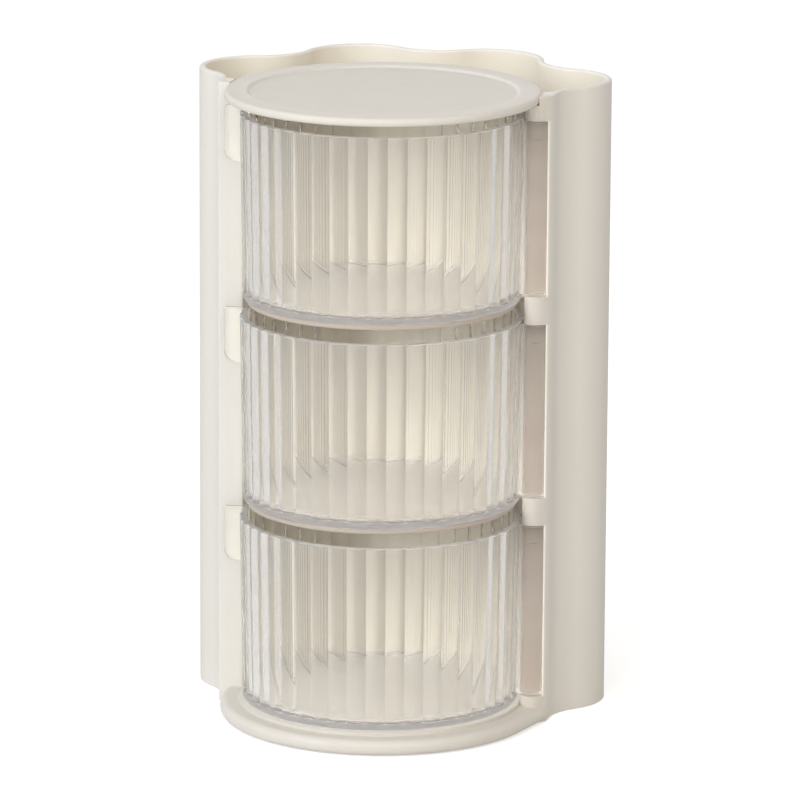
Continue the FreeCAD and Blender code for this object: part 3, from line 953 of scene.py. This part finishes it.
    def lip_loop(self) -> tuple[Array, Array]:
        """Plan of the right post outside the cover, whose lip stands beside the hinge barrels.

        Returns:
            Anticlockwise loop of shape (n, 2) and its tone: painted shade deep in the hinge's recess, a
            painted glint on the lip's edge and painted bounce light behind.
        """
        turn = math.asin(self.right_front / self.plan.bay)
        run = self.flank(self.fit)
        x = self.lip_x
        y = float(np.interp(x, run[:, 0], run[:, 1]))
        run = run[run[:, 1] > y + 3 * self.lip_round]
        rest = self.dive(self.meet, self.right_sweep, self.fit, self.cover_room)
        face = rounded([(*rest[-1], 0), (*polar(self.cover_room, turn), self.hidden_corner),
                        (x, x * math.tan(turn), self.lip_back_round), (x, y, self.lip_round),
                        (*run[0], 0)], closed=False)[1:-1]
        loop = np.concatenate([face, run, rest[1:]])
        # Painted light: shade painted down the lip's face in the recess, a highlight painted on its
        # rounded edge, and bounce light painted on the faces behind.
        shaded = 1 - smooth_step(loop[:, 0], x, x + self.lip_shade_x)
        shaded[len(face):] = 0.0
        low, high = self.lip_shade_y
        inset, strength = self.lip_glint
        glint = np.exp(-np.sum((loop - np.array([x + inset, y + inset])) ** 2, 1))
        tone = strength * glint + RECESS_SHADE * shaded * smooth_step(loop[:, 1], y + low, y + high)
        tone[-self.back_points:] = INSIDE_BOUNCE_LIGHT
        return loop, tone

    def knuckle_loop(self, root: float) -> tuple[Array, Array]:
        """Plan of a knuckle, whose round nose runs on into the flank and the shell's outside.

        Args:
            root: Radius that the knuckle keeps clear of, or 0 for a knuckle under the cover.

        Returns:
            Anticlockwise loop of shape (n, 2) and its tone: painted shade, a little deeper round the
            nose, and painted bounce light on faces behind.
        """
        plan = self.plan
        lift = self.knuckle_lifts[root > 0]
        angle = np.radians(np.linspace(*self.nose_turn, self.nose_points))
        nose = (plan.hinge + polar(self.knuckle + lift, angle))[:-1]
        nose = nose[np.hypot(nose[:, 0], nose[:, 1]) > root]
        rest = self.dive(self.meet, self.right_sweep, lift, max(root, plan.bay + self.fit))
        parts = [nose, self.flank(lift), rest[1:]]
        if root:
            turn = np.linspace(self.spoke(), math.atan2(nose[0, 1], nose[0, 0]), self.dive_points)
            parts.append(polar(root, turn[1:-1]))
        loop = np.concatenate(parts)
        x, y = loop.T
        # Painted shade, deepest at the nose, darkens the knuckle to the wall's shaded level; faces behind
        # get painted bounce light.
        tone = self.knuckle_shade * (1 - smooth_step(x, *self.tone_x))
        bounce_lit = np.where(x < self.tone_x[1], INSIDE_BOUNCE_LIGHT, PLAIN)
        return loop, np.where(y > self.right_front + self.bounce_behind, bounce_lit, tone)

    def knuckle_levels(self) -> list[Pair]:
        """Low and high ends of the four knuckles, between the hinge windows."""
        plan = self.plan
        feet = [plan.drawer_z(number) for number in range(len(DRAWER_NAMES))]
        lows = [foot + plan.drawer_height - plan.barrel_head + self.barrel_gap for foot in feet]
        highs = [foot + plan.barrel_foot - self.barrel_gap for foot in feet]
        return list(zip([plan.ground, *lows], [*highs, plan.cover_bottom]))

    def dress(self) -> None:
        """Build and finish the column."""
        dress(self.build(), CREAM, Body.FRAME, "drawer_column")


@dataclass
class Base:
    """Round floor of the column with its bullnose flange at the front."""

    plan: Layout
    flange: float = 53.0
    top: float = 5.6
    nose: float = 2.4
    seat: float = 46.8
    seat_foot: float = 0.3
    seat_top: float = 6.7
    seat_round: float = 0.4
    core: float = 46.6
    core_gap: float = 0.2
    let_out: float = 3.6
    out_turn: Pair = (-16.0, 9.0)
    right_turn: Pair = (8.5, 10.5)
    left_turn: Pair = (176.0, 178.0)
    rim_shade: float = -0.15
    tone_run: float = 2.5
    wear: Pair = (0.4, 1.2)
    count: int = 360

    def build(self) -> Piece:
        """Make the base, drawn in behind the posts and let out beside the hinge."""
        ground, flange, seat = self.plan.ground, self.flange, self.seat
        profile = rounded([(0, ground, 0), (flange, ground, self.nose), (flange, self.top, self.nose),
                           (seat, self.top, self.seat_foot), (seat, self.seat_top, self.seat_round),
                           (0, self.seat_top, 0)], closed=False, steps=9)
        skin = Skin()
        # Painted light: the seat and floor in the drawer bay get painted shade with warm bounce light,
        # the flange a light painted shade.
        outer = smooth_step(profile[:, 0], seat - self.tone_run, seat)
        marks: Marks = {Mark.TONE: BAY_SHADE + (self.rim_shade - BAY_SHADE) * outer,
                        Mark.WEAR: self.wear[0] * bell(profile[:, 0], flange, self.wear[1])}
        turned(skin, profile, marks, self.count, self.swell(profile))
        return skin.make("round_base", self.plan)

    def swell(self, profile: Array) -> Array:
        """How far the rim is let out or drawn in at each angle.

        The rim keeps its radius at the front, steps smoothly out to the knuckle on the right, and
        is drawn in to the core behind the posts.

        Args:
            profile: The base's profile, from pole to pole.

        Returns:
            Added radius of shape (count, len(profile)).
        """
        angle = np.linspace(0, 360, self.count, endpoint=False)
        turn = (angle + 90) % 360 - 90
        out = self.let_out * smooth_step(turn, *self.out_turn) * (turn < 90)
        drawn = smooth_step(turn, *self.right_turn) * (1 - smooth_step(turn, *self.left_turn))
        room = self.flange - self.core
        share = np.clip((profile[:, 0] - self.core) / room, 0, 1)
        rim = out * (1 - drawn) - (room + self.core_gap) * drawn
        return rim[:, None] * share[None, :]

    def dress(self) -> None:
        """Build and finish the base."""
        dress(self.build(), CREAM, Body.FRAME, "base")


@dataclass
class Cover:
    """Round top cover with a raised rim round a shallow dish."""

    plan: Layout
    radius: float = 51.6
    rim: float = 7.2
    recess: float = 0.8
    slope: float = 1.0
    nose: float = 1.2
    dish_round: float = 0.5
    dish_wear: float = 0.8
    # Painted shade on the cover's top and edge.
    tone: float = -0.12
    count: int = 300

    def build(self) -> Piece:
        """Turn the cover's profile round the column's axis."""
        low, high = self.plan.cover_bottom, self.plan.height
        dish, bed, bend = self.radius - self.rim, high - self.recess, self.dish_round
        profile = rounded([(0, low, 0), (self.radius, low, self.nose), (self.radius, high, self.nose),
                           (dish, high, bend), (dish - self.slope, bed, bend), (0, bed, 0)],
                          closed=False, steps=8)
        r, z = profile.T
        skin = Skin()
        # The underside, over the drawer bay, gets painted shade with warm bounce light.
        marks: Marks = {Mark.WEAR: bell(r, dish, self.dish_wear) * (z > high - bend),
                        Mark.TONE: np.where(np.isclose(z, low), BAY_SHADE, self.tone)}
        turned(skin, profile, marks, self.count)
        return skin.make("cover", self.plan)

    def dress(self) -> None:
        """Build and finish the cover."""
        dress(self.build(), CREAM, Body.FRAME, "top_cover")


@dataclass
class Shelf:
    """Thin shelf under one of the two upper drawers, let into the bay wall at the back."""

    plan: Layout
    number: int
    radius: float = 44.3
    plate: float = 1.6
    tongue: float = 3.4
    tongue_turn: Pair = (75.0, 78.0)
    tongue_from: float = 0.9
    edge: float = 0.6
    edge_shade: float = -0.6
    run_gap: float = 0.4
    count: int = 240

    def build(self) -> Piece:
        """Turn the plate's profile, let out to the back by the tongue."""
        top = self.plan.drawer_z(self.number) - self.run_gap
        profile = disc_profile(self.radius, top - self.plate, top, (self.edge, self.edge))
        r, rim = profile[:, 0], self.radius - self.edge
        turn = np.roll(np.abs(np.linspace(-180, 180, self.count, endpoint=False)), -self.count // 4)
        swell = self.tongue * (1 - smooth_step(turn, *self.tongue_turn))[:, None]
        swell = swell * smooth_step(r, self.tongue_from * self.radius, rim)[None]
        skin = Skin()
        # Painted shade on the plate's edge; its faces in the drawer bay get painted shade with warm
        # bounce light.
        turned(skin, profile, {Mark.TONE: np.where(r > rim, self.edge_shade, BAY_SHADE)}, self.count, swell)
        return skin.make(f"shelf_{DRAWER_NAMES[self.number]}_plate", self.plan)

    def dress(self) -> None:
        """Build and finish the shelf."""
        dress(self.build(), CREAM, Body.FRAME, f"shelf_{DRAWER_NAMES[self.number]}")


@dataclass
class Drawer:
    """Clear reeded cup with its hinge barrel, web and pull tab."""

    plan: Layout
    number: int
    crest: float = 46.5
    taper: float = 1.0
    wall: float = 1.5
    floor: float = 2.0
    floor_round: float = 2.2
    band: float = 1.7
    band_rounds: Pair = (0.5, 0.2)
    band_step: Pair = (0.02, 0.25)
    lip: float = 0.7
    lip_round: float = 0.35
    lip_frost: float = 0.3
    reed_depth: float = 0.85
    reeds: int = 45
    reed_turn: float = 2.0
    reed_slack: float = 0.1
    per_reed: int = 12
    side_points: int = 4
    groove_frost: float = 0.45
    barrel: float = 3.3
    barrel_edge: float = 0.3
    barrel_points: int = 56
    web: float = 2.0
    web_points: int = 4
    rooted: float = 0.6
    tab_reach: float = 6.5
    tab_height: float = 18.4
    tab_thick: float = 1.6
    tab_corner: float = 4.0
    tab_rounds: Pair = (0.3, 0.8)
    tab_edge: float = 0.25

    def build(self) -> Piece:
        """Make the cup, the barrel with its web, and the tab as one piece."""
        skin, plan = Skin(), self.plan
        self.turn_cup(skin)
        low = plan.drawer_z(self.number)
        high = low + plan.drawer_height
        raised(skin, self.barrel_loop(), low + plan.barrel_foot, high - plan.barrel_head,
               self.barrel_edge)
        half = self.tab_thick / 2
        raised(skin, self.tab_loop(high), -half, half, self.tab_edge, (0, 2, 1))
        return skin.make(f"drawer_{DRAWER_NAMES[self.number]}_cup", plan)

    def reed_place(self, angle: Array) -> Array:
        """Place of each angle, counted in reeds from the groove near the front."""
        return (angle + math.pi / 2 + math.radians(self.reed_turn)) * self.reeds / WHOLE

    def reed_radius(self, crest: Array, angle: Array) -> Array:
        """Radius of the reeded outside.

        Each reed is an arc through two grooves and a crest. With the arc's centre at distance c
        and its radius q, the outside at an angle a from the crest is c cos a + sqrt(q^2 - c^2 sin^2 a).

        Args:
            crest: Crest radius of each row.
            angle: Angle of each column.

        Returns:
            Radii of shape (columns, rows).
        """
        pitch = WHOLE / self.reeds
        off = (pitch * (self.reed_place(angle) % 1 - 0.5))[:, None]
        groove = crest - self.reed_depth
        width, rise = groove * math.sin(pitch / 2), crest - groove * math.cos(pitch / 2)
        bend = (width ** 2 + rise ** 2) / (2 * rise)
        middle = crest - bend
        return middle * np.cos(off) + np.sqrt(bend ** 2 - (middle * np.sin(off)) ** 2)

    def turn_cup(self, skin: Skin) -> None:
        """Turn the cup's profile, reeded outside above the foot band and smooth inside."""
        low, tall = self.plan.drawer_z(self.number), self.plan.drawer_height
        band, crest = self.band, self.crest
        foot = crest - self.taper
        inset = self.reed_depth + self.wall
        back, up = self.band_step
        lower = rounded([(0, 0, 0), (foot, 0, self.band_rounds[0]), (foot, band, self.band_rounds[1]),
                         (foot - back, band + up, 0)], closed=False, steps=4)
        rise = np.linspace(band + 2 * up, tall - self.lip, self.side_points)
        side = np.stack([foot + self.taper * (rise - band) / (tall - band), rise], 1)
        lip = rounded([(crest, tall - self.lip, 0), (crest, tall, self.lip_round),
                       (crest - inset, tall, self.lip_round),
                       (foot - inset, self.floor, self.floor_round), (0, self.floor, 0)],
                      closed=False, steps=7)[1:]
        profile = np.concatenate([lower, side, lip]) + np.array([0.0, low])
        fading = np.clip((lip[:, 0] - (crest - inset)) / inset, 0, 1) * (lip[:, 1] > tall / 2)
        reeded = np.concatenate([np.zeros(len(lower) - 1), np.ones(1 + len(side)), fading])
        count = self.reeds * self.per_reed
        angle = np.linspace(0, WHOLE, count, endpoint=False)
        reach = np.maximum(profile[:, 0], foot - self.reed_slack)
        swell = (self.reed_radius(reach, angle) - reach) * reeded
        frosted = bell(profile[:, 1], low + tall, self.lip_frost)
        frosted[1:len(lower)] = 1.0
        place = self.reed_place(angle)
        groove = np.isclose(place, np.round(place))[:, None] * np.isclose(reeded, 1.0)
        marks: Marks = {Mark.WEAR: np.maximum(frosted, self.groove_frost * groove), Mark.CREASE: groove}
        turned(skin, profile, marks, count, swell)

    def barrel_loop(self) -> Array:
        """Plan of the barrel and its web, a circle with a flat neck towards the cup."""
        half = math.asin(self.web / 2 / self.barrel)
        angle = np.linspace(-math.pi + half, math.pi - half, self.barrel_points)
        ring = self.plan.hinge + polar(self.barrel, angle)
        root = self.crest - self.taper - self.reed_depth - self.rooted
        x = np.linspace(ring[-1, 0], root, self.web_points + 1)[1:]
        y = np.full(self.web_points, self.web / 2)
        middle = self.plan.hinge[1]
        return np.concatenate([ring, np.stack([x, middle + y], 1), np.stack([x[::-1], middle - y], 1)])

    def tab_loop(self, high: float) -> Array:
        """Outline of the tab in x and z, with its low outer corner rounded."""
        outer = -(self.crest + self.tab_reach)
        inner = -(self.crest - self.reed_depth - self.rooted)
        low = high - self.tab_height
        hidden, upper = self.tab_rounds
        return rounded([(inner, low, hidden), (inner, high, hidden), (outer, high, upper),
                        (outer, low, self.tab_corner)], steps=10)

    def dress(self) -> None:
        """Build and finish the drawer."""
        name = DRAWER_NAMES[self.number]
        dress(self.build(), CLEAR, Body(f"{name}_drawer"), f"drawer_{name}")


@dataclass
class Studs:
    """Small round pieces of one kind, each turned where its CAD node lies."""

    plan: Layout
    node: str
    piece: str
    names: tuple[str, ...]
    finish: Finish
    radius: float
    rounds: Pair
    wear: float
    count: int
    wear_height: float = 0.3

    def build(self, name: str) -> Piece:
        """Turn one piece round the middle of its node."""
        low, high = (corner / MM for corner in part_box(f"{self.node}_{name}"))
        x, y, _ = (low + high) / 2
        profile = disc_profile(self.radius, low.z, high.z, self.rounds)
        skin = Skin()
        worn = self.wear * bell(profile[:, 1], low.z, self.wear_height)
        turned(skin, profile, {Mark.WEAR: worn}, self.count, centre=(x, y - self.plan.axis_y))
        return skin.make(f"{self.piece}_{name}", self.plan)

    def dress(self) -> None:
        """Build and finish the pieces."""
        for name in self.names:
            dress(self.build(name), self.finish, Body.FRAME, f"{self.node}_{name}")


PINS = Studs(PLAN, "hinge_pin", "pin", ("bottom", "lower", "upper", "top"), MATCHED,
             radius=1.3, rounds=(0.3, 0.3), wear=0.0, count=40)
PADS = Studs(PLAN, "pad", "foot", ("front_left", "front_right", "back_left", "back_right"), RUBBER,
             radius=5.0, rounds=(0.35, 0.2), wear=1.0, count=48)


@dataclass(frozen=True)
class Lamp:
    """Soft oblong lamp that looks at the middle of the part."""

    name: str
    place: Triple
    size: Pair
    power: float
    colour: Rgb


@dataclass
class Studio:
    """Floor, white surroundings, lamps and the camera at the photograph's angle, in metres."""

    plan: Layout
    lamps: tuple[Lamp, ...] = (
        Lamp("key", (-1.1, -1.4, 0.75), (0.12, 1.3), 8.8, (0.95, 1.0, 1.07)),
        Lamp("side", (1.25, -1.2, 0.6), (0.1, 1.2), 1.8, (1.0, 0.94, 0.86)),
        Lamp("front", (0.35, -1.6, 1.05), (2.4, 0.9), 8.2, (1.0, 0.99, 0.97)),
        Lamp("fill", (0.1, -0.35, 0.6), (0.3, 0.3), 0.3, (1.0, 0.94, 0.85)),
    )
    floor_reach: float = 6.0
    floor_tones: Pair = (0.88, 0.9)
    floor_noise: Pair = (6.0, 2.0)
    floor_rough: float = 0.9
    floor_glow: float = 0.5
    sky_front: Triple = (-0.55, -0.65, 0.52)
    sky_level: Pair = (0.12, 0.85)
    sky_cool: Rgb = (0.96, 1.0, 1.06)
    sky_warm: Rgb = (0.89, 0.81, 0.725)
    bounces: tuple[tuple[str, int], ...] = (
        ("max_bounces", 32), ("diffuse_bounces", 8), ("glossy_bounces", 8),
        ("transmission_bounces", 32), ("transparent_max_bounces", 32))
    distance: float = 2.1
    azimuth: float = 12.0
    elevation: float = 13.25
    lens: float = 288.3
    sensor: float = 36.0
    shift: Pair = (0.02302, 0.00609)
    roll: float = 0.29
    aim_z: float = 0.105
    sight: float = 50.0

    def build(self) -> None:
        """Set the stage, the lamps, the surroundings and the camera."""
        scene = bpy.context.scene
        self.lay_floor(scene)
        for lamp in self.lamps:
            self.hang(scene, lamp)
        self.surround(scene)
        self.stand_camera(scene)
        scene.view_settings.view_transform = "Standard"
        for name, count in self.bounces:
            setattr(scene.cycles, name, count)

    def aim(self) -> Vector:
        """Point on the column's axis that the lamps and the camera look at."""
        return Vector((0, self.plan.axis_y * MM, self.aim_z))

    def lay_floor(self, scene: Scene) -> None:
        """Pale floor, lifted to white for the camera but still shaded by the part."""
        mesh = bpy.data.meshes.new("floor")
        reach = self.floor_reach
        corners = [(-reach, -reach, 0), (reach, -reach, 0), (reach, reach, 0), (-reach, reach, 0)]
        mesh.from_pydata(corners, [], [(0, 1, 2, 3)])
        floor = bpy.data.objects.new("floor", mesh)
        scene.collection.objects.link(floor)
        material, nodes, shader = new_material("pale_floor")
        tones = ((tone, tone, tone) for tone in self.floor_tones)
        colour = nodes.blend(nodes.noise(nodes.where(), *self.floor_noise), *tones)
        nodes.feed(shader, {"Base Color": colour, "Roughness": self.floor_rough,
                            "Specular IOR Level": 0.0})
        seen = nodes.add("ShaderNodeLightPath").outputs["Is Camera Ray"]
        strength = nodes.math("MULTIPLY", seen, self.floor_glow)
        glow = nodes.add("ShaderNodeEmission", {"Strength": strength})
        both = {0: shader.outputs["BSDF"], 1: glow.outputs["Emission"]}
        nodes.show(nodes.add("ShaderNodeAddShader", both).outputs["Shader"])
        mesh.materials.append(material)

    def hang(self, scene: Scene, lamp: Lamp) -> None:
        """Hang one lamp and turn it towards the part."""
        data = bpy.data.lights.new(lamp.name, "AREA")
        data.shape = "RECTANGLE"
        data.size, data.size_y = lamp.size
        data.energy = lamp.power
        data.color = lamp.colour
        item = bpy.data.objects.new(lamp.name, data)
        item.location = lamp.place
        item.rotation_euler = (self.aim() - item.location).to_track_quat("-Z", "Y").to_euler()
        scene.collection.objects.link(item)

    def surround(self, scene: Scene) -> None:
        """White surroundings for the camera and the glass, a plain sky for the light.

        The sky is brighter towards the front left, cool on the left and warm on the right.
        """
        world = bpy.data.worlds.new("studio")
        scene.world = world
        world.use_nodes = True
        nodes = Nodes(world.node_tree)
        way = nodes.add("ShaderNodeTexCoord").outputs["Generated"]
        front = nodes.add("ShaderNodeVectorMath", {0: way, 1: self.sky_front}, operation="DOT_PRODUCT")
        across = nodes.add("ShaderNodeSeparateXYZ", {0: way})
        path = nodes.add("ShaderNodeLightPath").outputs
        seen = nodes.math("MAXIMUM", path["Is Camera Ray"], path["Is Transmission Ray"])
        seen = nodes.math("MAXIMUM", seen, path["Is Glossy Ray"])
        level = nodes.span(front.outputs["Value"], *self.sky_level, -1.0, 1.0)
        lift = nodes.math("MULTIPLY", *(nodes.math("SUBTRACT", term, 1.0) for term in (seen, level)))
        warm = nodes.span(across.outputs["X"], 0.0, 1.0, -1.0, 1.0)
        sky = nodes.blend(warm, self.sky_cool, self.sky_warm)
        given = {"Strength": nodes.math("SUBTRACT", 1.0, lift), "Color": nodes.blend(seen, sky, WHITE)}
        nodes.feed(world.node_tree.nodes["Background"], given)

    def stand_camera(self, scene: Scene) -> None:
        """Stand the camera on its circle and aim it at the column's axis."""
        turn, lift = math.radians(self.azimuth), math.radians(self.elevation)
        away = Vector((math.cos(lift) * math.sin(turn), -math.cos(lift) * math.cos(turn), math.sin(lift)))
        data = bpy.data.cameras.new("camera")
        data.lens = self.lens
        data.sensor_width = self.sensor
        data.shift_x, data.shift_y = self.shift
        data.clip_end = self.sight
        camera = bpy.data.objects.new("camera", data)
        camera.location = self.aim() + away * self.distance
        look = (-away).to_track_quat("-Z", "Y").to_matrix()
        camera.rotation_euler = (look @ Matrix.Rotation(math.radians(self.roll), 3, "Z")).to_euler()
        scene.collection.objects.link(camera)
        scene.camera = camera


def main() -> None:
    """Build every piece over the CAD frame, and the studio."""
    logging.basicConfig(level=logging.INFO, format="%(name)s %(message)s")
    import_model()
    pieces = [Shell(PLAN), Column(PLAN), Base(PLAN), Cover(PLAN), Shelf(PLAN, 1), Shelf(PLAN, 2),
              *(Drawer(PLAN, number) for number in range(len(DRAWER_NAMES))), PINS, PADS]
    for piece in pieces:
        piece.dress()
    Studio(PLAN).build()


if __name__ == "__main__":
    main()
